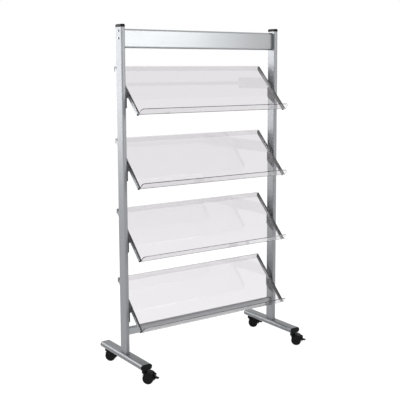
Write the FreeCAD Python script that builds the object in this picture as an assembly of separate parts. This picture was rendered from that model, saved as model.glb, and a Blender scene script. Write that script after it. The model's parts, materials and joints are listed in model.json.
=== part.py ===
import FreeCAD, Part
import math
import os

# Mobile leaflet display stand: two extruded aluminium uprights on casters carry a header panel,
# a low crossbar and four sloping clear trays. Millimetres, +Z up, front is -Y, X runs to the right
# when the stand is seen from the front. Z = 0 is the floor.

Vector = FreeCAD.Vector
X_AXIS = Vector(1, 0, 0)
Y_AXIS = Vector(0, 1, 0)
Z_AXIS = Vector(0, 0, 1)

# ---- driving dimensions -------------------------------------------------------------------

# the whole stand
stand_height = 1600.0
upright_spacing = 880.0          # between the middles of the two uprights
outline_shift = (-10.7, 17.4)    # brings the middle of the whole outline to X = 0, Y = 0

# uprights: hollow extrusions with two screw ports
upright_width = 20.0             # along X
upright_depth = 56.0             # along Y
upright_corner = 6.0
upright_wall = 2.2
port_offset = 16.0               # screw ports, either side of the middle
port_wall = 2.2

# moulded caps on top of the uprights
cap_height = 13.0
cap_overhang = 1.2
cap_chamfer = 3.5
plug_depth = 10.0                # how far a moulded plug reaches into its tube
plug_clearance = 0.2

# header panel and low crossbar: hollow flat extrusions with round edges
header_height = 86.0
header_thickness = 18.0
header_drop = 7.0                # from the top of the upright down to the header
crossbar_height = 40.0
crossbar_thickness = 18.0
crossbar_foot_gap = 79.0         # from the top of the foot up to the crossbar
panel_wall = 2.0
spigot_length = 30.0
spigot_clearance = 0.1

# feet
foot_length = 392.0              # over the end caps
foot_width = 58.0
foot_height = 27.0
foot_wall = 2.5
foot_rib = 2.0
foot_rib_offset = 13.0
foot_cap_thickness = 4.0
foot_cap_chamfer = 2.0
foot_plug_depth = 6.0

# casters
caster_height = 62.0             # floor to the underside of the foot
caster_inset = 20.0              # from the end of the foot to the stem
wheel_diameter = 50.0
caster_trail = 20.0              # stem to wheel centre
caster_heading = 48.0            # degrees that the casters trail from +X towards the front

# trays: one bent sheet each
tray_count = 4
tray_pitch = 330.0
lowest_tray_height = 209.0       # front bend of the lowest tray above the floor
tray_side_gap = 8.0              # between the end of a tray and the upright
tray_depth = 219.0               # front bend to rear face, along Y
tray_front_reach = 124.0         # front bend in front of the middle of the uprights
tray_slope = 45.0                # degrees
tray_sheet = 4.0
tray_bend = 2.0                  # inside radius of a bend
lip_length = 37.0
lip_slope = 49.0
lip_corner = 14.0
flange_height = 24.0

# rails under the ends of the trays
rail_width = 8.0
rail_height = 14.0
rail_wall = 1.4
rail_plug_corner = 1.5
rail_front_gap = 9.0             # front bend to the front plug, along the slope
rail_plug_head = 4.0
rail_plug_depth = 8.0
rail_flange_gap = 0.3            # rear plug to the flange of the tray

# brackets between the uprights and the rails
bracket_plate = 3.5
bracket_corner = 4.0
bracket_front = 27.0             # in front of the middle of the upright
bracket_rear = 25.0
bracket_top = 105.0              # heights above the front bend of the tray
bracket_rear_foot = 58.0
bracket_front_foot = 24.0
bracket_saddle_drop = 6.0        # how far the saddle beside the rail reaches below it
bracket_hole_offset = 7.0
bracket_hole_heights = (46.0, 74.0)
rail_screw_offset = 17.0         # in front of the middle of the upright

# fasteners
small_screw_radius = 2.5
small_screw_length = 12.0
small_head_radius = 4.6
small_head_height = 2.6
long_screw_radius = 3.0
long_screw_grip = 25.0           # how far a long screw reaches into its panel
long_head_radius = 5.2
long_head_height = 3.2
foot_bolt_radius = 4.0
foot_bolt_grip = 35.0
foot_bolt_head_radius = 6.5
foot_bolt_head_height = 5.0
foot_bolt_access = 1.0           # access hole round a bolt head
screw_clearance = 0.1

# caster details
stem_pin_radius = 5.5
stem_thread_radius = 5.0
stem_flange_radius = 11.0
stem_flange_thickness = 2.5
stem_pin_length = 21.5
stem_thread_rise = 12.0
nut_across_flats = 17.0
nut_height = 8.0
running_clearance = 0.05
face_clearance = 0.3
housing_web = 8.0
housing_keel_height = 12.5       # flat underside of the web above the floor
housing_neck_radius = 13.0
housing_neck_depth = 15.0
socket_wall = 2.0
hood_gap = 1.0
hood_thickness = 2.2
hood_half_width = 22.5
hood_start = 20.0                # degrees above level on the trailing side
hood_end = 152.0
wheel_width = 14.0
wheel_outer_face = 22.0          # from the middle plane of the caster
wheel_rim = 4.0
wheel_disc = 3.0
wheel_dish = 1.0                 # the disc lies this far inside the rim's outer face
wheel_chamfer = 1.2
wheel_hub_radius = 7.5
wheel_bore_end = 2.0             # closed disc left outside the bore
axle_radius = 3.0
axle_end_gap = 0.2
lever_pivot_reach = 31.5         # wheel centre to the lever's pivot
lever_pivot_angle = 28.0
lever_half_width = 8.0
lever_boss = 4.0                 # half height of the boss round the trunnions
lever_boss_rear = 3.2
lever_boss_round = 2.8
lever_bend = 2.0
lever_thickness = 3.0
lever_root_reach = 8.0           # from the tread to the root of the tongue
lever_tip_round = 1.35
lever_reach = 46.5               # wheel centre to the tip
lever_tip_height = 24.5
lever_shoe_gap = 3.0             # brake shoe to tread when released
lever_notch_gap = 0.6            # round the lever's boss, in the hood
lever_shoe_half_width = 18.0
lever_shoe_low = -8.0            # degrees round the wheel
lever_shoe_high = 12.0
trunnion_radius = 2.0
ear_thickness = 4.0
ear_radius = 4.8
ear_spread = 48.0                # degrees of the hood that an ear springs from

# ---- places worked out from the driving dimensions ------------------------------------------

half_spacing = upright_spacing / 2
inner_face = half_spacing - upright_width / 2
outer_face = half_spacing + upright_width / 2
foot_top = caster_height + foot_height
upright_top = stand_height - cap_height
header_top = upright_top - header_drop
header_middle = header_top - header_height / 2
header_port_top = header_top - header_thickness / 2
crossbar_middle = foot_top + crossbar_foot_gap + crossbar_height / 2
foot_tube_end = foot_length / 2 - foot_cap_thickness
caster_y = foot_length / 2 - caster_inset
tray_end = inner_face - tray_side_gap
rail_inner_face = tray_end - rail_width
wheel_radius = wheel_diameter / 2
slope = math.radians(tray_slope)

os.makedirs("parts", exist_ok=True)


# ---- helpers ------------------------------------------------------------------------------

def save(node, shapes):
    """Write one node: its solids, moved so that the floor outline is centred."""
    solids = []
    for shape in shapes:
        for solid in shape.Solids:
            placed = solid.copy()
            placed.translate(Vector(*outline_shift, 0))
            solids.append(placed)
    whole = solids[0] if len(solids) == 1 else Part.makeCompound(solids)
    whole.exportStep("parts/" + node + ".step")


def rounded_wire(corners):
    """Closed outline through (point, radius) corners, each rounded by a tangent arc."""
    stretches = []
    for index, (corner, radius) in enumerate(corners):
        if radius == 0:
            stretches.append((corner, None, corner))
            continue
        to_before = (corners[index - 1][0] - corner).normalize()
        to_after = (corners[(index + 1) % len(corners)][0] - corner).normalize()
        half_angle = to_before.getAngle(to_after) / 2
        reach = radius / math.tan(half_angle)
        bisector = (to_before + to_after).normalize()
        middle = corner + bisector * (radius / math.sin(half_angle) - radius)
        stretches.append((corner + to_before * reach, middle, corner + to_after * reach))
    edges = []
    for index, (start, middle, end) in enumerate(stretches):
        if middle is not None:
            edges.append(Part.Arc(start, middle, end).toShape())
        following = stretches[(index + 1) % len(stretches)][0]
        if end.distanceToPoint(following) > 1e-6:
            edges.append(Part.makeLine(end, following))
    return Part.Wire(edges)


def prism(corners, direction):
    """Solid extruded along a direction from an outline of (point, radius) corners."""
    return Part.Face(rounded_wire(corners)).extrude(direction)


def side_prism(outline, x_low, x_high):
    """Solid between two X values from an outline of (y, z, radius) corners."""
    corners = [(Vector(x_low, y, z), radius) for y, z, radius in outline]
    return prism(corners, X_AXIS * (x_high - x_low))


def rounded_bar(width, depth, radius, low, high):
    """Upright bar of rounded rectangular section, centred on the Z axis."""
    half_x = width / 2
    half_y = depth / 2
    section = [(-half_x, -half_y), (half_x, -half_y), (half_x, half_y), (-half_x, half_y)]
    corners = [(Vector(x, y, low), radius) for x, y in section]
    return prism(corners, Z_AXIS * (high - low))


def flat_bar(height, thickness, length):
    """Flat bar along X with fully round long edges, its section centred on the X axis."""
    half = thickness / 2
    straight = height / 2 - half
    start = -length / 2
    low = Vector(start, 0, -height / 2)
    high = Vector(start, 0, height / 2)
    edges = [
        Part.Arc(Vector(start, half, -straight), low, Vector(start, -half, -straight)).toShape(),
        Part.makeLine(Vector(start, -half, -straight), Vector(start, -half, straight)),
        Part.Arc(Vector(start, -half, straight), high, Vector(start, half, straight)).toShape(),
        Part.makeLine(Vector(start, half, straight), Vector(start, half, -straight)),
    ]
    return Part.Face(Part.Wire(edges)).extrude(X_AXIS * length)


def hole(radius, start, direction, length):
    """Cylinder to cut or to add."""
    return Part.makeCylinder(radius, length, start, direction)


def screw_shape(shank_radius, shank_length, head_radius, head_height):
    """Screw with a low round head; the head seats on Z = 0 and the shank runs down -Z."""
    shank = hole(shank_radius, Vector(0, 0, -shank_length), Z_AXIS, shank_length)
    return shank.fuse(hole(head_radius, Vector(0, 0, 0), Z_AXIS, head_height))


def aimed(shape, seat, outwards):
    """Copy of a +Z shape turned so that +Z points outwards, standing on the seat."""
    copy = shape.copy()
    turn = FreeCAD.Rotation(Z_AXIS, outwards)
    copy.Placement = FreeCAD.Placement(seat, turn)
    return copy


def mirrored(shape):
    """The same piece for the other end of the stand."""
    return shape.mirror(Vector(0, 0, 0), X_AXIS)


# ---- uprights ------------------------------------------------------------------------------

def make_upright():
    """Extruded upright at the right of the stand, with its screw ports and drilled holes."""
    outer = rounded_bar(upright_width, upright_depth, upright_corner, foot_top, upright_top)
    bore_width = upright_width - 2 * upright_wall
    bore = rounded_bar(
        bore_width,
        upright_depth - 2 * upright_wall,
        upright_corner - upright_wall,
        foot_top,
        upright_top,
    )
    length = upright_top - foot_top
    port_radius = foot_bolt_radius + port_wall
    for side in (-1, 1):
        port = hole(port_radius, Vector(0, side * port_offset, foot_top), Z_AXIS, length)
        web_corner = Vector(-bore_width / 2, side * port_offset - port_wall / 2, foot_top)
        web = Part.makeBox(bore_width, port_wall, length, web_corner)
        bore = bore.cut(port.fuse(web))
    upright = outer.cut(bore)
    for side in (-1, 1):
        port_axis = Vector(0, side * port_offset, foot_top)
        upright = upright.cut(hole(foot_bolt_radius, port_axis, Z_AXIS, length))
    upright.translate(Vector(half_spacing, 0, 0))
    for z in (header_port_top, header_middle):
        start = Vector(inner_face, 0, z)
        clearance = long_screw_radius + screw_clearance
        upright = upright.cut(hole(clearance, start, X_AXIS, upright_width))
    crossbar_start = Vector(inner_face, 0, crossbar_middle)
    upright = upright.cut(hole(long_screw_radius, crossbar_start, X_AXIS, upright_wall))
    for tray in range(tray_count):
        for y, z in bracket_holes(tray):
            upright = upright.cut(
                hole(small_screw_radius, Vector(inner_face, y, z), X_AXIS, upright_wall)
            )
    return upright


def make_upright_cap():
    """Moulded cap with a chamfered edge and a hollow plug that pushes into the upright."""
    width = upright_width + 2 * cap_overhang
    depth = upright_depth + 2 * cap_overhang
    corner = upright_corner + cap_overhang
    cap = rounded_bar(width, depth, corner, upright_top, stand_height)
    top_edges = [e for e in cap.Edges if e.BoundBox.ZMin > stand_height - 1e-6]
    cap = cap.makeChamfer(cap_chamfer, top_edges)
    bore_width = upright_width - 2 * upright_wall - 2 * plug_clearance
    plug_half = port_offset - foot_bolt_radius - port_wall - plug_clearance
    plug = Part.makeBox(
        bore_width,
        2 * plug_half,
        plug_depth,
        Vector(-bore_width / 2, -plug_half, upright_top - plug_depth),
    )
    hollow = Part.makeBox(
        bore_width - 2 * upright_wall,
        2 * plug_half - 2 * upright_wall,
        plug_depth,
        Vector(-bore_width / 2 + upright_wall, -plug_half + upright_wall, upright_top - plug_depth),
    )
    cap = cap.fuse(plug.cut(hollow)).removeSplitter()
    cap.translate(Vector(half_spacing, 0, 0))
    return cap


# ---- header panel and crossbar ----------------------------------------------------------------

def make_header():
    """Flat hollow panel between the uprights, with a screw port in each round edge and one midway."""
    length = 2 * inner_face
    outer = flat_bar(header_height, header_thickness, length)
    bore = flat_bar(header_height - 2 * panel_wall, header_thickness - 2 * panel_wall, length)
    edge_port = header_height / 2 - header_thickness / 2
    start = Vector(-length / 2, 0, 0)
    bore_depth = header_thickness - 2 * panel_wall
    for z in (-edge_port, 0, edge_port):
        port = hole(long_screw_radius + panel_wall, start + Z_AXIS * z, X_AXIS, length)
        web_corner = Vector(-length / 2, -bore_depth / 2, z - panel_wall / 2)
        web = Part.makeBox(length, bore_depth, panel_wall, web_corner)
        bore = bore.cut(port.fuse(web))
    panel = outer.cut(bore)
    for z in (-edge_port, 0, edge_port):
        panel = panel.cut(hole(long_screw_radius, start + Z_AXIS * z, X_AXIS, length))
    panel.translate(Z_AXIS * header_middle)
    return panel


def make_crossbar():
    """Low hollow bar that ties the uprights; it slips over a spigot at each end."""
    length = 2 * inner_face
    outer = flat_bar(crossbar_height, crossbar_thickness, length)
    bore = flat_bar(crossbar_height - 2 * panel_wall, crossbar_thickness - 2 * panel_wall, length)
    bar = outer.cut(bore)
    bar.translate(Z_AXIS * crossbar_middle)
    return bar


def make_crossbar_spigot():
    """Solid spigot screwed to the upright, inside the right end of the crossbar."""
    inset = panel_wall + spigot_clearance
    spigot = flat_bar(crossbar_height - 2 * inset, crossbar_thickness - 2 * inset, spigot_length)
    spigot.translate(Vector(inner_face - spigot_length / 2, 0, crossbar_middle))
    screw_start = Vector(inner_face - spigot_length, 0, crossbar_middle)
    clearance = long_screw_radius + screw_clearance
    spigot = spigot.cut(hole(clearance, screw_start, X_AXIS, spigot_length))
    recess = hole(long_head_radius + screw_clearance, screw_start, X_AXIS, spigot_length / 2)
    return spigot.cut(recess)


# ---- feet ------------------------------------------------------------------------------------

def foot_bar(inset, y_low, y_high):
    """Stadium bar along Y with the foot's section, taken in by an inset."""
    bar = flat_bar(foot_width - 2 * inset, foot_height - 2 * inset, y_high - y_low)
    bar.rotate(Vector(0, 0, 0), X_AXIS, 90)
    bar.rotate(Vector(0, 0, 0), Z_AXIS, 90)
    bar.translate(Vector(0, (y_low + y_high) / 2, caster_height + foot_height / 2))
    return bar


def make_foot():
    """Hollow foot under the right upright, with two ribs and its drilled holes."""
    outer = foot_bar(0, -foot_tube_end, foot_tube_end)
    bore = foot_bar(foot_wall, -foot_tube_end, foot_tube_end)
    for side in (-1, 1):
        corner = Vector(side * foot_rib_offset - foot_rib / 2, -foot_tube_end, caster_height)
        bore = bore.cut(Part.makeBox(foot_rib, 2 * foot_tube_end, foot_height, corner))
    foot = outer.cut(bore)
    for side in (-1, 1):
        stem_hole = Vector(0, side * caster_y, caster_height)
        stem_radius = stem_thread_radius + screw_clearance
        foot = foot.cut(hole(stem_radius, stem_hole, Z_AXIS, foot_wall))
        bolt = Vector(0, side * port_offset, caster_height)
        access = foot_bolt_head_radius + foot_bolt_access
        foot = foot.cut(hole(access, bolt, Z_AXIS, foot_wall))
        clearance = foot_bolt_radius + screw_clearance
        foot = foot.cut(hole(clearance, bolt, Z_AXIS, foot_height))
    foot.translate(Vector(half_spacing, 0, 0))
    return foot


def make_foot_cap(side):
    """Moulded end cap of the right foot: a stadium plate with a chamfered rim and a slotted plug."""
    plate = foot_bar(0, foot_tube_end, foot_length / 2)
    rim = [e for e in plate.Edges if e.BoundBox.YMin > foot_length / 2 - 1e-6]
    plate = plate.makeChamfer(foot_cap_chamfer, rim)
    plug = foot_bar(foot_wall + plug_clearance, foot_tube_end - foot_plug_depth, foot_tube_end)
    for rib in (-1, 1):
        slot_width = foot_rib + 2 * plug_clearance
        corner = Vector(
            rib * foot_rib_offset - slot_width / 2,
            foot_tube_end - foot_plug_depth,
            caster_height,
        )
        plug = plug.cut(Part.makeBox(slot_width, foot_plug_depth, foot_height, corner))
    cap = plate.fuse(plug).removeSplitter()
    if side < 0:
        cap = cap.mirror(Vector(0, 0, 0), Y_AXIS)
    cap.translate(Vector(half_spacing, 0, 0))
    return cap


# ---- trays --------------------------------------------------------------------------------------

def tray_corner_z(tray):
    """Height of the front bend of a tray; tray 0 is the top one."""
    return lowest_tray_height + (tray_count - 1 - tray) * tray_pitch


def under_tray(y, tray):
    """Height of the underside of the sloping sheet at a place along Y."""
    return tray_corner_z(tray) + (y + tray_front_reach) * math.tan(slope)


def parallel_path(path, distance):
    """The same open path of (y, z) points, moved sideways by a distance, with mitred corners."""
    steps = []
    for (y1, z1), (y2, z2) in zip(path, path[1:]):
        length = math.hypot(y2 - y1, z2 - z1)
        steps.append(((y2 - y1) / length, (z2 - z1) / length))
    moved = []
    for index, (y, z) in enumerate(path):
        along_in = steps[max(index - 1, 0)]
        along_out = steps[min(index, len(steps) - 1)]
        normal_y = -along_in[1] - along_out[1]
        normal_z = along_in[0] + along_out[0]
        size = math.hypot(normal_y, normal_z)
        cosine = (normal_y * -along_in[1] + normal_z * along_in[0]) / size
        moved.append((y + normal_y / size * distance / cosine, z + normal_z / size * distance / cosine))
    return moved


def make_tray(tray):
    """One bent clear sheet: front lip, sloping back and a short flange turned down behind."""
    front_y = -tray_front_reach
    front_z = tray_corner_z(tray)
    rear_y = front_y + tray_depth - tray_sheet
    rear_z = under_tray(rear_y, tray)
    lip = math.radians(lip_slope)
    under = [
        (front_y - lip_length * math.cos(lip), front_z + lip_length * math.sin(lip)),
        (front_y, front_z),
        (rear_y, rear_z),
        (rear_y, rear_z - flange_height),
    ]
    upper = parallel_path(under, tray_sheet)
    outer_bend = tray_bend + tray_sheet
    outline = [
        (*under[0], 0),
        (*under[1], outer_bend),
        (*under[2], tray_bend),
        (*under[3], 0),
        (*upper[3], 0),
        (*upper[2], outer_bend),
        (*upper[1], tray_bend),
        (*upper[0], 0),
    ]
    sheet = side_prism(outline, -tray_end, tray_end)
    # the two top corners of the lip are rounded in the plane of the lip
    along_lip = Vector(0, -math.cos(lip), math.sin(lip))
    through_lip = Vector(0, math.sin(lip), math.cos(lip))
    for side in (-1, 1):
        tip = Vector(side * tray_end, *under[0])
        start = tip - through_lip * tray_sheet
        square = [
            (start + along_lip * tray_sheet + X_AXIS * side * tray_sheet, 0),
            (start + along_lip * tray_sheet - X_AXIS * side * lip_corner, 0),
            (start - X_AXIS * side * lip_corner, 0),
            (start, lip_corner),
            (start - along_lip * lip_corner, 0),
            (start - along_lip * lip_corner + X_AXIS * side * tray_sheet, 0),
        ]
        sheet = sheet.cut(prism(square, through_lip * (3 * tray_sheet)))
    return sheet


def rail_line(distance, drop, tray):
    """Point (y, z) at a distance up the slope from the front bend and a drop below the sheet."""
    y = -tray_front_reach + distance * math.cos(slope) + drop * math.sin(slope)
    z = tray_corner_z(tray) + distance * math.sin(slope) - drop * math.cos(slope)
    return (y, z)


def rail_band(y, drop, tray):
    """Point (y, z) at a place along Y, a drop below the sheet measured square to the slope."""
    return (y, under_tray(y, tray) - drop / math.cos(slope))


rear_corner_y = -tray_front_reach + tray_depth - tray_sheet
rear_bend_reach = tray_bend / math.tan((math.pi / 2 - slope) / 2)
rail_rear_y = rear_corner_y - rail_flange_gap - rail_plug_head
rail_tube_start = rail_front_gap + rail_plug_head


def make_rail(tray):
    """Flat aluminium tube under the right end of a tray, cut square in front and plumb behind."""
    outline = [
        (*rail_line(rail_tube_start, 0, tray), 0),
        (*rail_band(rail_rear_y, 0, tray), 0),
        (*rail_band(rail_rear_y, rail_height, tray), 0),
        (*rail_line(rail_tube_start, rail_height, tray), 0),
    ]
    rail = side_prism(outline, rail_inner_face, tray_end)
    beyond = rail_height
    bore = [
        (*rail_line(rail_tube_start - beyond, rail_wall, tray), 0),
        (*rail_band(rail_rear_y + beyond, rail_wall, tray), 0),
        (*rail_band(rail_rear_y + beyond, rail_height - rail_wall, tray), 0),
        (*rail_line(rail_tube_start - beyond, rail_height - rail_wall, tray), 0),
    ]
    rail = rail.cut(side_prism(bore, rail_inner_face + rail_wall, tray_end - rail_wall))
    y, z = rail_screw_place(tray)
    clearance = small_screw_radius + screw_clearance
    return rail.cut(hole(clearance, Vector(rail_inner_face, y, z), X_AXIS, rail_width))


def make_rail_plugs(tray):
    """Front and rear end plugs of a right-hand rail."""
    inset = rail_wall + plug_clearance
    x_low = rail_inner_face + inset
    x_high = tray_end - inset
    front_head = [
        (*rail_line(rail_front_gap, 0, tray), 0),
        (*rail_line(rail_tube_start, 0, tray), 0),
        (*rail_line(rail_tube_start, rail_height, tray), 0),
        (*rail_line(rail_front_gap, rail_height, tray), rail_plug_corner),
    ]
    front_tail = [
        (*rail_line(rail_tube_start, inset, tray), 0),
        (*rail_line(rail_tube_start + rail_plug_depth, inset, tray), 0),
        (*rail_line(rail_tube_start + rail_plug_depth, rail_height - inset, tray), 0),
        (*rail_line(rail_tube_start, rail_height - inset, tray), 0),
    ]
    rear_head = [
        (*rail_band(rail_rear_y, 0, tray), 0),
        (*rail_band(rail_rear_y, rail_height, tray), 0),
        (*rail_band(rail_rear_y + rail_plug_head, rail_height, tray), 0),
        (*rail_band(rail_rear_y + rail_plug_head, rear_bend_reach, tray), 0),
        (*rail_band(rear_corner_y - rear_bend_reach * math.cos(slope), 0, tray), 0),
    ]
    rear_tail = [
        (*rail_band(rail_rear_y, inset, tray), 0),
        (*rail_band(rail_rear_y, rail_height - inset, tray), 0),
        (*rail_band(rail_rear_y - rail_plug_depth, rail_height - inset, tray), 0),
        (*rail_band(rail_rear_y - rail_plug_depth, inset, tray), 0),
    ]
    plugs = []
    for head, tail in ((front_head, front_tail), (rear_head, rear_tail)):
        plug = side_prism(head, rail_inner_face, tray_end)
        plugs.append(plug.fuse(side_prism(tail, x_low, x_high)).removeSplitter())
    return plugs


# ---- brackets -------------------------------------------------------------------------------------

def bracket_holes(tray):
    """(y, z) of the two screws that hold a bracket to its upright."""
    low, high = bracket_hole_heights
    base = tray_corner_z(tray)
    return [(-bracket_hole_offset, base + low), (bracket_hole_offset, base + high)]


def rail_screw_place(tray):
    """(y, z) of the screw that joins a rail to its bracket, midway down the rail."""
    return rail_band(-rail_screw_offset, rail_height / 2, tray)


def make_bracket(tray):
    """Cast bracket on the inner face of the right upright, with a saddle beside the rail."""
    base = tray_corner_z(tray)
    plate = [
        (-bracket_front, base + bracket_front_foot, bracket_corner),
        (bracket_rear, base + bracket_rear_foot, bracket_corner),
        (bracket_rear, base + bracket_top, bracket_corner),
        (-bracket_front, base + bracket_top, bracket_corner),
    ]
    saddle_depth = rail_height + bracket_saddle_drop
    top_below_bend = bracket_top - tray_front_reach * math.tan(slope)
    saddle_rear = top_below_bend / math.tan(slope) + saddle_depth / math.sin(slope)
    saddle = [
        (*rail_band(-bracket_front, saddle_depth, tray), bracket_corner / 2),
        (saddle_rear, base + bracket_top, 0),
        (-bracket_front, base + bracket_top, bracket_corner),
    ]
    bracket = side_prism(plate, inner_face - bracket_plate, inner_face)
    bracket = bracket.fuse(side_prism(saddle, tray_end, inner_face)).removeSplitter()
    for y, z in bracket_holes(tray):
        start = Vector(inner_face - bracket_plate, y, z)
        clearance = small_screw_radius + screw_clearance
        bracket = bracket.cut(hole(clearance, start, X_AXIS, bracket_plate))
    y, z = rail_screw_place(tray)
    thread = hole(small_screw_radius, Vector(tray_end, y, z), X_AXIS, inner_face - tray_end)
    return bracket.cut(thread)


# ---- casters ----------------------------------------------------------------------------------------

def disc(radius, v_low, v_high):
    """Cylinder round the wheel axle between two planes; a caster is built with the stem at X = 0,
    the wheels trailing along +X and the axle along Y."""
    start = Vector(caster_trail, v_low, wheel_radius)
    return Part.makeCylinder(radius, v_high - v_low, start, Y_AXIS)


def round_wheel(reach, degrees):
    """Point (x, z) at a reach from the wheel centre and an angle above level."""
    angle = math.radians(degrees)
    return (caster_trail + reach * math.cos(angle), wheel_radius + reach * math.sin(angle))


def caster_prism(outline, v_low, v_high):
    """Solid between two planes square to the axle, from (x, z, radius) corners."""
    corners = [(Vector(x, v_low, z), radius) for x, z, radius in outline]
    return prism(corners, Y_AXIS * (v_high - v_low))


lever_pivot = round_wheel(lever_pivot_reach, lever_pivot_angle)
stem_bottom = caster_height - stem_flange_thickness - stem_pin_length
housing_top = caster_height - stem_flange_thickness - face_clearance
hood_inner = wheel_radius + hood_gap
hood_outer = hood_inner + hood_thickness
wheel_inner_face = wheel_outer_face - wheel_width
hub_inner_face = housing_web / 2 + face_clearance


def make_stem():
    """Threaded stem with a flange under the foot and a plain pin for the housing to turn on."""
    flange_bottom = caster_height - stem_flange_thickness
    pin = hole(stem_pin_radius, Vector(0, 0, stem_bottom), Z_AXIS, stem_pin_length)
    flange = hole(stem_flange_radius, Vector(0, 0, flange_bottom), Z_AXIS, stem_flange_thickness)
    thread = hole(stem_thread_radius, Vector(0, 0, caster_height), Z_AXIS, stem_thread_rise)
    return pin.fuse([flange, thread]).removeSplitter()


def make_nut():
    """Hexagon nut on the stem, inside the foot, with its flats facing the end cap."""
    across_corners = nut_across_flats / math.cos(math.radians(30))
    corners = []
    for index in range(6):
        angle = math.radians(60 * index)
        x = across_corners / 2 * math.cos(angle)
        y = across_corners / 2 * math.sin(angle)
        corners.append((Vector(x, y, caster_height + foot_wall), 0))
    body = prism(corners, Z_AXIS * nut_height)
    return body.cut(hole(stem_thread_radius, Vector(0, 0, caster_height), Z_AXIS, 2 * foot_height))


def make_housing():
    """Moulded hood over both wheels: neck, stem socket, middle web, hood and lever ears."""
    web_half = housing_web / 2
    web = disc(wheel_radius - hood_gap, -web_half, web_half)
    below_keel = Vector(caster_trail - wheel_radius, -web_half, 0)
    web = web.cut(Part.makeBox(2 * wheel_radius, housing_web, housing_keel_height, below_keel))
    ring = disc(hood_outer, -hood_half_width, hood_half_width)
    ring = ring.cut(disc(hood_inner, -hood_half_width, hood_half_width))
    far = 3 * wheel_radius
    sector = [
        (caster_trail, wheel_radius, 0),
        (*round_wheel(far, hood_start), 0),
        (*round_wheel(far, (hood_start + hood_end) / 2), 0),
        (*round_wheel(far, hood_end), 0),
    ]
    ring = ring.fuse(disc(hood_outer, -web_half, web_half))
    hood = ring.common(caster_prism(sector, -hood_half_width, hood_half_width))
    socket_radius = stem_pin_radius + socket_wall
    socket_bottom = stem_bottom - face_clearance - socket_wall
    socket = hole(socket_radius, Vector(0, 0, socket_bottom), Z_AXIS, housing_top - socket_bottom)
    neck_bottom = housing_top - housing_neck_depth
    neck = hole(housing_neck_radius, Vector(0, 0, neck_bottom), Z_AXIS, housing_neck_depth)
    neck = neck.cut(disc(hood_inner, -hood_half_width, hood_half_width))
    gusset = [
        (0, socket_bottom, 0),
        (caster_trail, socket_bottom, 0),
        (caster_trail, wheel_radius + hood_inner, 0),
        (0, wheel_radius + hood_inner, 0),
    ]
    housing = web.fuse([hood, socket, neck, caster_prism(gusset, -web_half, web_half)])
    # the hood is notched for the lever, which two ears at the trailing edge carry
    notch_half = lever_half_width + face_clearance
    notch_rise = math.degrees(math.asin((lever_boss + lever_notch_gap) / lever_pivot_reach))
    notch_floor = hood_inner + face_clearance
    notch = [
        (*round_wheel(notch_floor, hood_start - notch_rise), 0),
        (*round_wheel(far, hood_start - notch_rise), 0),
        (*round_wheel(far, lever_pivot_angle + notch_rise), 0),
        (*round_wheel(notch_floor, lever_pivot_angle + notch_rise), 0),
    ]
    housing = housing.cut(caster_prism(notch, -notch_half, notch_half))
    pivot_x, pivot_z = lever_pivot
    crown_angle = hood_start + ear_spread
    crown_x, crown_z = round_wheel(hood_outer, crown_angle)
    # the back of an ear runs from the hood's crown tangent to its round end
    back_angle = math.atan2(crown_z - pivot_z, crown_x - pivot_x)
    back_angle -= math.acos(ear_radius / math.hypot(crown_x - pivot_x, crown_z - pivot_z))
    ear = [
        (*round_wheel(hood_inner, hood_start), 0),
        (pivot_x, pivot_z, 0),
        (pivot_x + ear_radius * math.cos(back_angle), pivot_z + ear_radius * math.sin(back_angle), 0),
        (crown_x, crown_z, 0),
        (*round_wheel(hood_inner, crown_angle), 0),
    ]
    for low in (notch_half, -notch_half - ear_thickness):
        end = hole(ear_radius, Vector(pivot_x, low, pivot_z), Y_AXIS, ear_thickness)
        housing = housing.fuse([end, caster_prism(ear, low, low + ear_thickness)])
    well_face = wheel_inner_face - hood_gap / 2
    for low, high in ((-hood_half_width, -well_face), (well_face, hood_half_width)):
        housing = housing.cut(disc(hood_inner, low, high))
    pin_radius = stem_pin_radius + running_clearance
    pin_bottom = stem_bottom - face_clearance
    housing = housing.cut(hole(pin_radius, Vector(0, 0, pin_bottom), Z_AXIS, housing_top - pin_bottom))
    housing = housing.cut(disc(axle_radius, -web_half, web_half))
    trunnion_start = Vector(pivot_x, -hood_half_width, pivot_z)
    bore_radius = trunnion_radius + running_clearance
    housing = housing.cut(hole(bore_radius, trunnion_start, Y_AXIS, 2 * hood_half_width))
    return housing.removeSplitter()


def make_axle():
    """Plain steel axle held in the web of the housing."""
    end = wheel_outer_face - wheel_dish - wheel_bore_end - axle_end_gap
    return disc(axle_radius, -end, end)


def make_wheel():
    """Dished wheel on the far side: tread, rim, closed disc and a hub with a blind bore."""
    bore = axle_radius + running_clearance
    disc_outer = wheel_outer_face - wheel_dish
    disc_inner = disc_outer - wheel_disc
    rim_inner = wheel_radius - wheel_rim
    bore_end = disc_outer - wheel_bore_end
    profile = [
        (hub_inner_face, bore),
        (hub_inner_face, wheel_hub_radius),
        (disc_inner, wheel_hub_radius),
        (disc_inner, rim_inner),
        (wheel_inner_face, rim_inner),
        (wheel_inner_face, wheel_radius),
        (wheel_outer_face - wheel_chamfer, wheel_radius),
        (wheel_outer_face, wheel_radius - wheel_chamfer),
        (wheel_outer_face, rim_inner),
        (disc_outer, rim_inner - wheel_chamfer),
        (disc_outer, 0),
        (bore_end, 0),
        (bore_end, bore),
    ]
    points = [Vector(caster_trail + r, v, wheel_radius) for v, r in profile]
    face = Part.Face(Part.makePolygon(points + points[:1]))
    return face.revolve(Vector(caster_trail, 0, wheel_radius), Y_AXIS, 360)


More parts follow.
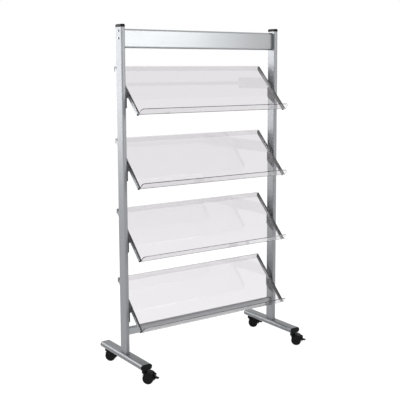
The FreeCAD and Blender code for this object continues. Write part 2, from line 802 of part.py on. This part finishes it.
def make_lever():
    """Brake lever: a tongue to press on, a shoe that faces both treads, and moulded trunnions."""
    pivot_x, pivot_z = lever_pivot
    shoe = wheel_radius + lever_shoe_gap
    shoe_back = shoe + lever_thickness
    tip_x = caster_trail + lever_reach
    root_x = caster_trail + wheel_radius + lever_root_reach
    body = [
        (pivot_x - lever_boss_rear, pivot_z - lever_boss, 0),
        (pivot_x - lever_boss_rear, pivot_z + lever_boss, lever_boss_round),
        (pivot_x + lever_boss, pivot_z + lever_boss, lever_boss_round),
        (pivot_x + lever_boss, pivot_z - lever_boss, lever_bend),
        (root_x, lever_tip_height + 2 * lever_thickness, lever_bend),
        (tip_x, lever_tip_height + lever_thickness, lever_tip_round),
        (tip_x, lever_tip_height, lever_tip_round),
        (root_x, lever_tip_height, lever_bend),
        (*round_wheel(shoe_back, lever_shoe_low), 0),
        (*round_wheel(shoe, lever_shoe_low), 0),
        (*round_wheel(shoe, lever_shoe_high), 0),
    ]
    lever = caster_prism(body, -lever_half_width, lever_half_width)
    pad = [
        (*round_wheel(shoe, lever_shoe_low), 0),
        (*round_wheel(shoe, lever_shoe_high), 0),
        (*round_wheel(shoe_back, lever_shoe_high), 0),
        (*round_wheel(shoe_back, lever_shoe_low), 0),
    ]
    lever = lever.fuse(caster_prism(pad, -lever_shoe_half_width, lever_shoe_half_width))
    reach = lever_half_width + face_clearance + ear_thickness
    trunnion = hole(trunnion_radius, Vector(pivot_x, -reach, pivot_z), Y_AXIS, 2 * reach)
    return lever.fuse(trunnion).removeSplitter()


# ---- build ----------------------------------------------------------------------------------------

upright = make_upright()
save("upright_right", [upright])
save("upright_left", [mirrored(upright)])
upright_cap = make_upright_cap()
save("upright_cap_right", [upright_cap])
save("upright_cap_left", [mirrored(upright_cap)])

save("header_panel", [make_header()])
header_screw = screw_shape(
    long_screw_radius, upright_width + long_screw_grip, long_head_radius, long_head_height
)
header_screws = []
for z in (header_port_top, header_middle):
    screw = aimed(header_screw, Vector(outer_face, 0, z), X_AXIS)
    header_screws += [screw, mirrored(screw)]
save("header_screws", header_screws)

save("crossbar", [make_crossbar()])
spigot = make_crossbar_spigot()
save("crossbar_spigots", [spigot, mirrored(spigot)])
crossbar_screw_length = spigot_length / 2 + upright_wall
crossbar_screw = aimed(
    screw_shape(long_screw_radius, crossbar_screw_length, long_head_radius, long_head_height),
    Vector(inner_face - spigot_length / 2, 0, crossbar_middle),
    X_AXIS * -1,
)
save("crossbar_screws", [crossbar_screw, mirrored(crossbar_screw)])

foot = make_foot()
save("foot_right", [foot])
save("foot_left", [mirrored(foot)])
for end, side in (("front", -1), ("rear", 1)):
    foot_cap = make_foot_cap(side)
    save("foot_cap_right_" + end, [foot_cap])
    save("foot_cap_left_" + end, [mirrored(foot_cap)])

foot_bolt = screw_shape(
    foot_bolt_radius, foot_wall + foot_bolt_grip, foot_bolt_head_radius, foot_bolt_head_height
)
foot_bolts = []
for x in (-half_spacing, half_spacing):
    for y in (-port_offset, port_offset):
        seat = Vector(x, y, foot_top - foot_wall)
        foot_bolts.append(aimed(foot_bolt, seat, Z_AXIS * -1))
save("foot_bolts", foot_bolts)

rail_plugs = []
shelf_screws = []
shelf_screw = screw_shape(
    small_screw_radius, small_screw_length, small_head_radius, small_head_height
)
for tray in range(tray_count):
    number = str(tray + 1)
    save("tray_" + number, [make_tray(tray)])
    rail = make_rail(tray)
    save("rail_right_" + number, [rail])
    save("rail_left_" + number, [mirrored(rail)])
    bracket = make_bracket(tray)
    save("bracket_right_" + number, [bracket])
    save("bracket_left_" + number, [mirrored(bracket)])
    right_plugs = make_rail_plugs(tray)
    rail_plugs += right_plugs + [mirrored(plug) for plug in right_plugs]
    seats = [Vector(inner_face - bracket_plate, y, z) for y, z in bracket_holes(tray)]
    seats.append(Vector(rail_inner_face, *rail_screw_place(tray)))
    for seat in seats:
        screw = aimed(shelf_screw, seat, X_AXIS * -1)
        shelf_screws += [screw, mirrored(screw)]
save("rail_end_plugs", rail_plugs)
save("shelf_screws", shelf_screws)

stem = make_stem()
nut = make_nut()
housing = make_housing()
axle = make_axle()
wheel = make_wheel()
lever = make_lever()
stems = []
nuts = []
for x_name, x in (("left", -half_spacing), ("right", half_spacing)):
    for y_name, y in (("front", -caster_y), ("rear", caster_y)):
        place = Vector(x, y, 0)
        for shape, group in ((stem, stems), (nut, nuts)):
            copy = shape.copy()
            copy.translate(place)
            group.append(copy)
        turned = FreeCAD.Placement(place, FreeCAD.Rotation(Z_AXIS, -caster_heading))
        name = x_name + "_" + y_name
        for piece, shape in (
            ("caster_housing_", housing),
            ("caster_axle_", axle),
            ("caster_wheel_a_", wheel),
            ("caster_wheel_b_", wheel.mirror(Vector(0, 0, 0), Y_AXIS)),
            ("caster_lever_", lever),
        ):
            copy = shape.copy()
            copy.Placement = turned.multiply(copy.Placement)
            save(piece + name, [copy])
save("caster_stems", stems)
save("caster_nuts", nuts)
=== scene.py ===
import json
import math

import bpy
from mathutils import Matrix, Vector

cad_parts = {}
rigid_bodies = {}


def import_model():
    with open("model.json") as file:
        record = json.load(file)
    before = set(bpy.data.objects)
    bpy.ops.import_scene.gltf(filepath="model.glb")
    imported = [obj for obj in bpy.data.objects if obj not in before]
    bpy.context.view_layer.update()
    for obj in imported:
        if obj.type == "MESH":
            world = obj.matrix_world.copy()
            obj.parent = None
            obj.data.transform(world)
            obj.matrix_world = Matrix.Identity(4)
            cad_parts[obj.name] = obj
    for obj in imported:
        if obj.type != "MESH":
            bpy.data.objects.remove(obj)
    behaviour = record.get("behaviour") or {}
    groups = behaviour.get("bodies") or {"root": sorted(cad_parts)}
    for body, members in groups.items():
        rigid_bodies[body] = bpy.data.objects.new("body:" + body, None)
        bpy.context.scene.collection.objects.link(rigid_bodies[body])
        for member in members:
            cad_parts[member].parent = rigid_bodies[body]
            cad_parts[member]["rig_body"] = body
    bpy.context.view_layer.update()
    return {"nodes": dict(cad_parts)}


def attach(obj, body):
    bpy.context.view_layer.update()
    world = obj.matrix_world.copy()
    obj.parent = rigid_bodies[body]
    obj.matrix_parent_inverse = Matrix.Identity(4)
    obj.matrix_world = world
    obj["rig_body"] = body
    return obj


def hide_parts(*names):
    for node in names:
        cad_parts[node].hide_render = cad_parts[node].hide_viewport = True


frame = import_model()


# ---- camera --------------------------------------------------------------------------------------
# A tall, slim stand is shown whole from the front and left, at about chest height and from some
# four metres away. The lens is a short telephoto on a square frame, shifted a little downwards.

camera = bpy.data.objects.new("camera", bpy.data.cameras.new("camera"))
bpy.context.scene.collection.objects.link(camera)
bpy.context.scene.camera = camera
camera.data.sensor_width = 36.0
camera.data.lens = 71.03
camera.data.shift_y = -0.0801
camera.location = (-2.1811, -3.1092, 1.3958)
camera.rotation_euler = (math.radians(82.925), math.radians(0.217), math.radians(-34.650))
bpy.context.scene.view_settings.view_transform = "Standard"


# ---- studio: floor, world and lamps --------------------------------------------------------------
# A seamless matt white sweep under soft lamps. Seen by the camera, in gloss and through clear sheet
# it is plain white; the floor keeps the soft shadow of the feet and casters.

def linear(hex_colour, share=1.0):
    """Linear RGBA of an sRGB hex colour such as 'C8CACC', or of a share of its light."""
    channels = [int(hex_colour[i:i + 2], 16) / 255 for i in (0, 2, 4)]
    light = [c / 12.92 if c <= 0.04045 else ((c + 0.055) / 1.055) ** 2.4 for c in channels]
    return [c * share for c in light] + [1.0]


def add_node(tree, kind, settings=None, links=None):
    """Adds a shader node. Settings are its own options or its sockets' values, by name or by the
    socket's number; links feed its sockets."""
    node = tree.nodes.new(kind)
    for name, value in (settings or {}).items():
        if isinstance(name, int) or name in node.inputs:
            node.inputs[name].default_value = value
        else:
            setattr(node, name, value)
    for name, source in (links or {}).items():
        tree.links.new(source, node.inputs[name])
    return node


def empty_material(name):
    """A node material with nothing in it yet, and its tree."""
    material = bpy.data.materials.new(name)
    material.use_nodes = True
    material.node_tree.nodes.clear()
    return material, material.node_tree


def is_seen(tree):
    """1 for camera, glossy and transmission rays, and 0 for the rays that only carry light."""
    ray = add_node(tree, "ShaderNodeLightPath")
    seen = ray.outputs["Is Camera Ray"]
    for kind in ("Is Glossy Ray", "Is Transmission Ray"):
        seen = add_node(
            tree, "ShaderNodeMath", {"operation": "MAXIMUM"}, {0: seen, 1: ray.outputs[kind]}
        ).outputs[0]
    return seen


WHITE = (1, 1, 1, 1)
FLOOR_GLOW = 0.92              # with the light that the sweep catches besides, it reads plain white
FLOOR_SIZE = 60                # metres, past every horizon
AMBIENT = 0.7                  # light of the white surroundings, as a share of how they look

sweep, tree = empty_material("matt_white_sweep")
matt = add_node(tree, "ShaderNodeBsdfDiffuse", {"Color": linear("F2F2F2")})
shadow_catch = add_node(tree, "ShaderNodeBsdfDiffuse", {"Color": linear("707070")})
glow = add_node(tree, "ShaderNodeEmission", {"Color": WHITE, "Strength": FLOOR_GLOW})
lit = add_node(tree, "ShaderNodeAddShader", None, {0: shadow_catch.outputs[0], 1: glow.outputs[0]})
floor_shader = add_node(
    tree, "ShaderNodeMixShader", None, {0: is_seen(tree), 1: matt.outputs[0], 2: lit.outputs[0]}
)
add_node(tree, "ShaderNodeOutputMaterial", None, {"Surface": floor_shader.outputs[0]})

bpy.ops.object.select_all(action="DESELECT")
bpy.ops.mesh.primitive_plane_add(size=FLOOR_SIZE, location=(0, 0, 0))
floor = bpy.context.object
floor.name = "floor"
floor.data.materials.append(sweep)

world = bpy.data.worlds.new("white_studio")
bpy.context.scene.world = world
world.use_nodes = True
tree = world.node_tree
tree.nodes.clear()
ambient = add_node(tree, "ShaderNodeBackground", {"Color": WHITE, "Strength": AMBIENT})
white = add_node(tree, "ShaderNodeBackground", {"Color": WHITE, "Strength": 1.0})
sky = add_node(
    tree, "ShaderNodeMixShader", None, {0: is_seen(tree), 1: ambient.outputs[0], 2: white.outputs[0]}
)
add_node(tree, "ShaderNodeOutputWorld", None, {"Surface": sky.outputs[0]})

# Name, place, aimed at, width, height, watts. The softboxes only light. The panels and strips are
# mirrored in the bare metal as well, as its soft gradients. No lamp shows through the clear trays.
for name, place, target, width, height, power in (
    ("key_softbox", (-3.2, -3.4, 3.4), (0, 0, 0.9), 3.6, 3.6, 60),
    ("fill_softbox", (3.8, -0.6, 2.4), (0, 0, 0.8), 3.0, 3.0, 35),
    ("top_softbox", (-1.0, 0.6, 4.2), (0, 0, 0.8), 3.4, 3.4, 50),
    ("front_panel", (1.0, -2.9, 1.85), (-0.3, 0, 1.55), 1.9, 1.2, 21),
    ("side_panel", (-1.5, 2.1, 1.75), (-0.3, 0, 1.4), 1.6, 1.9, 33),
    ("edge_strip", (-3.2, -0.3, 1.6), (-0.4, 0, 1.2), 0.5, 2.0, 16),
    ("rear_strip", (-0.35, 1.0, 1.85), (0.45, 0, 1.6), 0.35, 0.6, 2.6),
):
    lamp = bpy.data.objects.new(name, bpy.data.lights.new(name, "AREA"))
    bpy.context.scene.collection.objects.link(lamp)
    lamp.data.shape = "RECTANGLE"
    lamp.data.size = width
    lamp.data.size_y = height
    lamp.data.energy = power
    lamp.visible_camera = False
    lamp.visible_transmission = False
    lamp.visible_glossy = "softbox" not in name
    lamp.location = place
    lamp.rotation_euler = (Vector(target) - Vector(place)).to_track_quat("-Z", "Y").to_euler()


# ---- extrusions: uprights, header panel, crossbar, feet and rails --------------------------------
# Aluminium profiles, extruded, lightly brushed and clear anodised to a satin silver. Fine die lines
# run along each length. They are sawn to length, screwed together and closed with moulded ends.

WELD = 0.000001                # metres: a CAD mesh is loose triangles, and their corners are merged
FLAT = math.radians(0.1)       # faces that turn less than this become one
SHARP = math.radians(40)       # edges that turn more than this are eased
SMOOTH = math.radians(35)      # and those that turn less than this are shaded round


def finished(node, material, edge=0.0, sockets=None):
    """A shown copy of a CAD node: its mesh merged, its sharp edges eased, its finish put on.
    edge is the width of the eased edge. sockets is a tool object that is sunk into the copy and
    then thrown away."""
    piece = bpy.data.objects.new(node + "_finished", frame["nodes"][node].data.copy())
    bpy.context.scene.collection.objects.link(piece)
    bpy.ops.object.select_all(action="DESELECT")
    piece.select_set(True)
    bpy.context.view_layer.objects.active = piece
    bpy.ops.object.mode_set(mode="EDIT")
    bpy.ops.mesh.select_all(action="SELECT")
    bpy.ops.mesh.remove_doubles(threshold=WELD)
    bpy.ops.mesh.dissolve_limited(angle_limit=FLAT)
    bpy.ops.object.mode_set(mode="OBJECT")
    if edge:
        bevel = piece.modifiers.new("eased_edges", "BEVEL")
        bevel.width = edge
        bevel.segments = 2
        bevel.limit_method = "ANGLE"
        bevel.angle_limit = SHARP
        bevel.use_clamp_overlap = True
        bpy.ops.object.modifier_apply(modifier="eased_edges")
    if sockets:
        sunk = piece.modifiers.new("sunk_sockets", "BOOLEAN")
        sunk.operation = "DIFFERENCE"
        sunk.solver = "EXACT"
        sunk.object = sockets
        bpy.ops.object.modifier_apply(modifier="sunk_sockets")
        bpy.data.objects.remove(sockets)
    bpy.ops.object.shade_smooth_by_angle(angle=SMOOTH)
    # large flat faces keep their own direction, and only the rounds between them are shaded smooth
    flats = piece.modifiers.new("true_flats", "WEIGHTED_NORMAL")
    flats.keep_sharp = True
    bpy.ops.object.modifier_apply(modifier="true_flats")
    piece.data.materials.clear()
    piece.data.materials.append(material)
    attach(piece, frame["nodes"][node]["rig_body"])
    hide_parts(node)
    return piece


SLOPE = math.radians(45)       # of the trays and their rails
OUT_OF_SLOPE = (0, -math.sin(SLOPE), math.cos(SLOPE))   # the way the sloping faces look up
RAIL_PAINTED_SHADE = "404042"           # painted shade on a rail's top and inner faces, under its tray
RAIL_PAINTED_HIGHLIGHT = "C0C0C2"           # painted highlight in its middle, just above the bracket
PAINTED_SHADE_FRONT = -0.025            # depths, in metres, at which the painted shade is back at its dark tone
PAINTED_SHADE_REAR = 0.095
TOP_COSINE = 0.9               # a face within 26 degrees of OUT_OF_SLOPE is a rail's top
INWARD = -0.3                  # direction along X times place along X: below this it looks inwards


def anodised_aluminium(name, stretch, turn, colour, smoothest=0.34, rail_shade_painted=False):
    """Satin anodised extrusion, with die lines that run the way the mapping is stretched.
    smoothest is its least roughness; the last flag paints shade on a rail's top and inner faces,
    with a painted highlight in their middle."""
    material, tree = empty_material(name)
    place = add_node(tree, "ShaderNodeTexCoord")
    grain = add_node(
        tree, "ShaderNodeMapping", {"Rotation": (turn, 0, 0), "Scale": stretch},
        {"Vector": place.outputs["Object"]},
    )
    lines = add_node(
        tree, "ShaderNodeTexNoise", {"Scale": 1.0, "Detail": 3.0, "Roughness": 0.6},
        {"Vector": grain.outputs[0]},
    )
    cloud = add_node(
        tree, "ShaderNodeTexNoise", {"Scale": 6.0, "Detail": 2.0}, {"Vector": place.outputs["Object"]}
    )
    tone = add_node(tree, "ShaderNodeValToRGB", None, {"Fac": lines.outputs["Fac"]})
    tone.color_ramp.elements[0].position = 0.3
    tone.color_ramp.elements[0].color = linear(colour, 0.93)
    tone.color_ramp.elements[1].position = 0.7
    tone.color_ramp.elements[1].color = linear(colour)
    rough = add_node(
        tree, "ShaderNodeMapRange", {"To Min": smoothest, "To Max": smoothest + 0.08},
        {"Value": cloud.outputs["Fac"]},
    )
    relief = add_node(
        tree, "ShaderNodeBump", {"Strength": 0.15, "Distance": 0.00005},
        {"Height": lines.outputs["Fac"]},
    )
    shader = add_node(
        tree, "ShaderNodeBsdfPrincipled", {"Metallic": 1.0},
        {"Base Color": tone.outputs["Color"], "Roughness": rough.outputs[0], "Normal": relief.outputs[0]},
    )
    surface = shader.outputs[0]
    if rail_shade_painted:
        # painted shade lies on faces square to the sheet's slope and on faces towards the stand's middle;
        # from dark at its front it turns pale, a painted highlight, and back to dark at its rear
        rise = add_node(
            tree, "ShaderNodeVectorMath", {"operation": "DOT_PRODUCT", 1: OUT_OF_SLOPE},
            {0: place.outputs["Normal"]},
        )
        top = add_node(
            tree, "ShaderNodeMath", {"operation": "GREATER_THAN", 1: TOP_COSINE},
            {0: rise.outputs["Value"]},
        )
        facing = add_node(tree, "ShaderNodeSeparateXYZ", None, {0: place.outputs["Normal"]})
        spot = add_node(tree, "ShaderNodeSeparateXYZ", None, {0: place.outputs["Object"]})
        inward = add_node(
            tree, "ShaderNodeMath", {"operation": "MULTIPLY"},
            {0: facing.outputs["X"], 1: spot.outputs["X"]},
        )
        inner = add_node(
            tree, "ShaderNodeMath", {"operation": "LESS_THAN", 1: INWARD}, {0: inward.outputs[0]}
        )
        painted_shade_mask = add_node(
            tree, "ShaderNodeMath", {"operation": "MAXIMUM"}, {0: top.outputs[0], 1: inner.outputs[0]}
        )
        along = add_node(
            tree, "ShaderNodeMapRange", {"From Min": PAINTED_SHADE_FRONT, "From Max": PAINTED_SHADE_REAR},
            {"Value": spot.outputs["Y"]},
        )
        painted_highlight_fade = add_node(tree, "ShaderNodeValToRGB", None, {"Fac": along.outputs[0]})
        painted_highlight_fade.color_ramp.interpolation = "EASE"
        painted_highlight_fade.color_ramp.elements[0].color = linear(RAIL_PAINTED_SHADE)
        painted_highlight_fade.color_ramp.elements[1].color = linear(RAIL_PAINTED_SHADE)
        painted_highlight_fade.color_ramp.elements.new(0.5).color = linear(RAIL_PAINTED_HIGHLIGHT)
        painted_shade_shader = add_node(
            tree, "ShaderNodeBsdfPrincipled", {"Roughness": 0.5, "Specular IOR Level": 0.2},
            {"Base Color": painted_highlight_fade.outputs["Color"]},
        )
        partly_painted_shade = add_node(
            tree, "ShaderNodeMixShader", None,
            {0: painted_shade_mask.outputs[0], 1: surface, 2: painted_shade_shader.outputs[0]},
        )
        surface = partly_painted_shade.outputs[0]
    add_node(tree, "ShaderNodeOutputMaterial", None, {"Surface": surface})
    return material


# Across a profile the die lines lie about 1 mm apart, coarser than the real ones so that they show.
# Along it they change slowly.
ACROSS = 900
ALONG = 6
upright_finish = anodised_aluminium(
    "satin_anodised_upright", (ACROSS, ACROSS, ALONG), 0.0, "929497", 0.44
)
bar_finish = anodised_aluminium("satin_anodised_bar", (ALONG, ACROSS, ACROSS), 0.0, "A0A2A4", 0.27)
# the feet take a darker copy of the finish: painted shade for the darker reflection on their tops
foot_finish_painted_shade = anodised_aluminium("satin_anodised_foot_painted_shade", (ACROSS, ALONG, ACROSS), 0.0, "7C7E81")
# the rails carry painted shade on their top and inner faces, pale in the middle as a painted highlight
rail_finish_with_painted_shade = anodised_aluminium(
    "satin_anodised_rail_with_painted_shade", (ACROSS, ALONG, ACROSS), -SLOPE, "A0A3A7", 0.42, rail_shade_painted=True
)
RAIL_EDGE = 0.0006

for side in ("left", "right"):
    finished("upright_" + side, upright_finish)
    finished("foot_" + side, foot_finish_painted_shade)
    for number in range(1, 5):
        finished("rail_%s_%d" % (side, number), rail_finish_with_painted_shade, RAIL_EDGE)
header = finished("header_panel", bar_finish)
finished("crossbar", bar_finish)

# the side panel is flagged off the header, whose flat back would mirror it as one blank white bar
flagged = bpy.data.collections.new("flagged_from_side_panel")
flagged.objects.link(header)
flagged.collection_objects[0].light_linking.link_state = "EXCLUDE"
bpy.data.objects["side_panel"].light_linking.receiver_collection = flagged


# ---- moulded ends: upright caps, foot caps and rail plugs ----------------------------------------
# Black ABS, injection moulded with a fine spark-eroded skin that keeps it from shining. Each is
# pushed into the open end of its profile on a ribbed plug.

def moulded_plastic(name, colour, smoothest, roughest, grit):
    """Moulded plastic with a fine spark-eroded skin; grit is the texture's scale per metre."""
    material, tree = empty_material(name)
    place = add_node(tree, "ShaderNodeTexCoord")
    skin = add_node(
        tree, "ShaderNodeTexNoise", {"Scale": grit, "Detail": 4.0, "Roughness": 0.65},
        {"Vector": place.outputs["Object"]},
    )
    shade = add_node(tree, "ShaderNodeValToRGB", None, {"Fac": skin.outputs["Fac"]})
    shade.color_ramp.elements[0].color = linear(colour, 0.8)
    shade.color_ramp.elements[1].color = linear(colour)
    rough = add_node(
        tree, "ShaderNodeMapRange", {"To Min": smoothest, "To Max": roughest},
        {"Value": skin.outputs["Fac"]},
    )
    relief = add_node(
        tree, "ShaderNodeBump", {"Strength": 0.25, "Distance": 0.00008},
        {"Height": skin.outputs["Fac"]},
    )
    shader = add_node(
        tree, "ShaderNodeBsdfPrincipled", {"IOR": 1.5, "Specular IOR Level": 0.12},
        {"Base Color": shade.outputs["Color"], "Roughness": rough.outputs[0], "Normal": relief.outputs[0]},
    )
    add_node(tree, "ShaderNodeOutputMaterial", None, {"Surface": shader.outputs[0]})
    return material


BLACK = "0E0E0F"
PLUG_EDGE = 0.0003

black_abs = moulded_plastic("black_moulded_abs", BLACK, 0.42, 0.58, 1400)
for side in ("left", "right"):
    finished("upright_cap_" + side, black_abs)
    for end in ("front", "rear"):
        finished("foot_cap_%s_%s" % (side, end), black_abs)
finished("rail_end_plugs", black_abs, PLUG_EDGE)


# ---- trays ---------------------------------------------------------------------------------------
# Clear cast acrylic sheet, 4 mm thick, sawn, edge polished and hot bent: a lip in front, a slope at
# 45 degrees and a short flange behind. Each lies on its two rails. The slope's faces get a faint grey
# of painted shade, while lip and flange stay clear, and a long way through the sheet to a cut edge
# looks darker.

SLOPE_PAINTED_SHADE = "EBE9EC"
CLEAR = "FCFBFC"
SHEET_EDGE = 0.0004

clear_acrylic, tree = empty_material("clear_cast_acrylic")
place = add_node(tree, "ShaderNodeTexCoord")
wave = add_node(
    tree, "ShaderNodeTexNoise", {"Scale": 9.0, "Detail": 1.0}, {"Vector": place.outputs["Object"]}
)
relief = add_node(
    tree, "ShaderNodeBump", {"Strength": 0.1, "Distance": 0.001}, {"Height": wave.outputs["Fac"]}
)
rise = add_node(
    tree, "ShaderNodeVectorMath", {"operation": "DOT_PRODUCT", 1: OUT_OF_SLOPE},
    {0: place.outputs["Normal"]},
)
either = add_node(tree, "ShaderNodeMath", {"operation": "ABSOLUTE"}, {0: rise.outputs["Value"]})
# painted shade: faces square to the slope take a grey, lip and flange keep the clear colour
painted_slope_shade = add_node(tree, "ShaderNodeValToRGB", None, {"Fac": either.outputs[0]})
painted_slope_shade.color_ramp.elements[0].position = 0.96
painted_slope_shade.color_ramp.elements[0].color = linear(CLEAR)
painted_slope_shade.color_ramp.elements[1].position = 0.99
painted_slope_shade.color_ramp.elements[1].color = linear(SLOPE_PAINTED_SHADE)
shader = add_node(
    tree, "ShaderNodeBsdfPrincipled",
    {"Roughness": 0.02, "IOR": 1.49, "Transmission Weight": 1.0},
    {"Base Color": painted_slope_shade.outputs["Color"], "Normal": relief.outputs[0]},
)
inside = add_node(tree, "ShaderNodeVolumeAbsorption", {"Color": (0.5, 0.5, 0.5, 1), "Density": 36.0})
add_node(
    tree, "ShaderNodeOutputMaterial", None, {"Surface": shader.outputs[0], "Volume": inside.outputs[0]}
)

for number in range(1, 5):
    finished("tray_%d" % number, clear_acrylic, SHEET_EDGE)


# ---- brackets ------------------------------------------------------------------------------------
# Die-cast brackets, powder coated dark grey with a slight orange peel of about 1.5 mm. Each sits on
# two screws in the inner face of an upright.

BRACKET_EDGE = 0.0004

powder, tree = empty_material("dark_grey_powder_coat")
place = add_node(tree, "ShaderNodeTexCoord")
peel = add_node(
    tree, "ShaderNodeTexNoise", {"Scale": 700.0, "Detail": 2.0}, {"Vector": place.outputs["Object"]}
)
relief = add_node(
    tree, "ShaderNodeBump", {"Strength": 0.3, "Distance": 0.0001}, {"Height": peel.outputs["Fac"]}
)
shade = add_node(tree, "ShaderNodeValToRGB", None, {"Fac": peel.outputs["Fac"]})
shade.color_ramp.elements[0].color = linear("4C4C4E")
shade.color_ramp.elements[1].color = linear("58585B")
shader = add_node(
    tree, "ShaderNodeBsdfPrincipled", {"Roughness": 0.5, "IOR": 1.5, "Specular IOR Level": 0.2},
    {"Base Color": shade.outputs["Color"], "Normal": relief.outputs[0]},
)
add_node(tree, "ShaderNodeOutputMaterial", None, {"Surface": shader.outputs[0]})

for side in ("left", "right"):
    for number in range(1, 5):
        finished("bracket_%s_%d" % (side, number), powder, BRACKET_EDGE)


# ---- screws, bolts, stems and nuts ---------------------------------------------------------------
# Cold formed steel, zinc plated: a bluish bright skin that is a little blotchy. The small screws of
# the brackets and rails are black zinc, so that they sink into the dark brackets.

def plated_steel(name, dull, bright):
    """Plated steel whose skin varies between a dull and a bright colour."""
    material, tree = empty_material(name)
    place = add_node(tree, "ShaderNodeTexCoord")
    blotch = add_node(
        tree, "ShaderNodeTexNoise", {"Scale": 350.0, "Detail": 3.0}, {"Vector": place.outputs["Object"]}
    )
    shade = add_node(tree, "ShaderNodeValToRGB", None, {"Fac": blotch.outputs["Fac"]})
    shade.color_ramp.elements[0].color = linear(dull)
    shade.color_ramp.elements[1].color = linear(bright)
    rough = add_node(
        tree, "ShaderNodeMapRange", {"To Min": 0.25, "To Max": 0.42}, {"Value": blotch.outputs["Fac"]}
    )
    shader = add_node(
        tree, "ShaderNodeBsdfPrincipled", {"Metallic": 1.0},
        {"Base Color": shade.outputs["Color"], "Roughness": rough.outputs[0]},
    )
    add_node(tree, "ShaderNodeOutputMaterial", None, {"Surface": shader.outputs[0]})
    return material


def hexagon_sockets(faces, across, depth):
    """Tool for hexagon sockets along X, each centred on the outer face of a screw head."""
    bpy.ops.object.select_all(action="DESELECT")
    keys = []
    for face in faces:
        bpy.ops.mesh.primitive_cylinder_add(
            vertices=6, radius=across / math.sqrt(3), depth=2 * depth, location=face,
            rotation=(0, math.radians(90), 0),
        )
        keys.append(bpy.context.object)
    for key in keys:
        key.select_set(True)
    bpy.ops.object.join()
    return bpy.context.object


zinc = plated_steel("zinc_plated_steel", "8E9195", "A9ACB0")
black_zinc = plated_steel("black_zinc_plated_steel", "3C3C3F", "525255")

UPRIGHTS_X = -0.0107           # middle between the uprights
UPRIGHTS_Y = 0.0174            # middle of their depth
LEFT_AND_RIGHT = (-1, 1)

# button heads of the header screws, 4 mm key; one above the other on the outside of each upright
HEADER_HEAD_REACH = 0.4532     # from the middle between the uprights to the outer face of the head
HEADER_HEAD_HEIGHTS = (1.571, 1.537)
HEADER_HEAD_EDGE = 0.0009      # the round of the button head
header_heads = []
for side in LEFT_AND_RIGHT:
    for height in HEADER_HEAD_HEIGHTS:
        header_heads.append((UPRIGHTS_X + side * HEADER_HEAD_REACH, UPRIGHTS_Y, height))
header_keys = hexagon_sockets(header_heads, across=0.004, depth=0.002)
finished("header_screws", zinc, HEADER_HEAD_EDGE, header_keys)

# pan heads that hold brackets and rails, 3 mm key; they face the middle of the stand
SHELF_HEAD_EDGE = 0.0008
FRONT_BENDS = (0.209, 0.539, 0.869, 1.199)     # height of each tray's front bend
SHELF_HEADS = (                                # reach, depth from the uprights' middle, rise
    (0.4239, -0.007, 0.046),                   # lower screw of the bracket
    (0.4239, 0.007, 0.074),                    # upper screw of the bracket
    (0.4114, -0.017, 0.0971),                  # screw into the rail
)
shelf_heads = []
for front_bend in FRONT_BENDS:
    for side in LEFT_AND_RIGHT:
        for reach, depth, rise in SHELF_HEADS:
            shelf_heads.append((UPRIGHTS_X + side * reach, UPRIGHTS_Y + depth, front_bend + rise))
shelf_keys = hexagon_sockets(shelf_heads, across=0.003, depth=0.0015)
finished("shelf_screws", black_zinc, SHELF_HEAD_EDGE, shelf_keys)

HIDDEN_EDGE = 0.0004
for node in ("crossbar_screws", "foot_bolts", "caster_stems", "caster_nuts"):
    finished(node, zinc, HIDDEN_EDGE)
finished("crossbar_spigots", black_abs)


# ---- casters -------------------------------------------------------------------------------------
# Twin-wheel casters: a hood and a brake lever moulded in black polyamide, dished polyamide wheels
# with a matt tread, and a plain steel axle pressed through the web.

CASTER_EDGE = 0.0004
WHEEL_EDGE = 0.0003

black_polyamide = moulded_plastic("black_moulded_polyamide", BLACK, 0.45, 0.6, 1100)
wheel_polyamide = moulded_plastic("black_wheel_polyamide", BLACK, 0.5, 0.66, 900)
for corner in ("left_front", "left_rear", "right_front", "right_rear"):
    finished("caster_housing_" + corner, black_polyamide, CASTER_EDGE)
    finished("caster_lever_" + corner, black_polyamide, CASTER_EDGE)
    finished("caster_axle_" + corner, zinc)
    for wheel in ("a", "b"):
        finished("caster_wheel_%s_%s" % (wheel, corner), wheel_polyamide, WHEEL_EDGE)
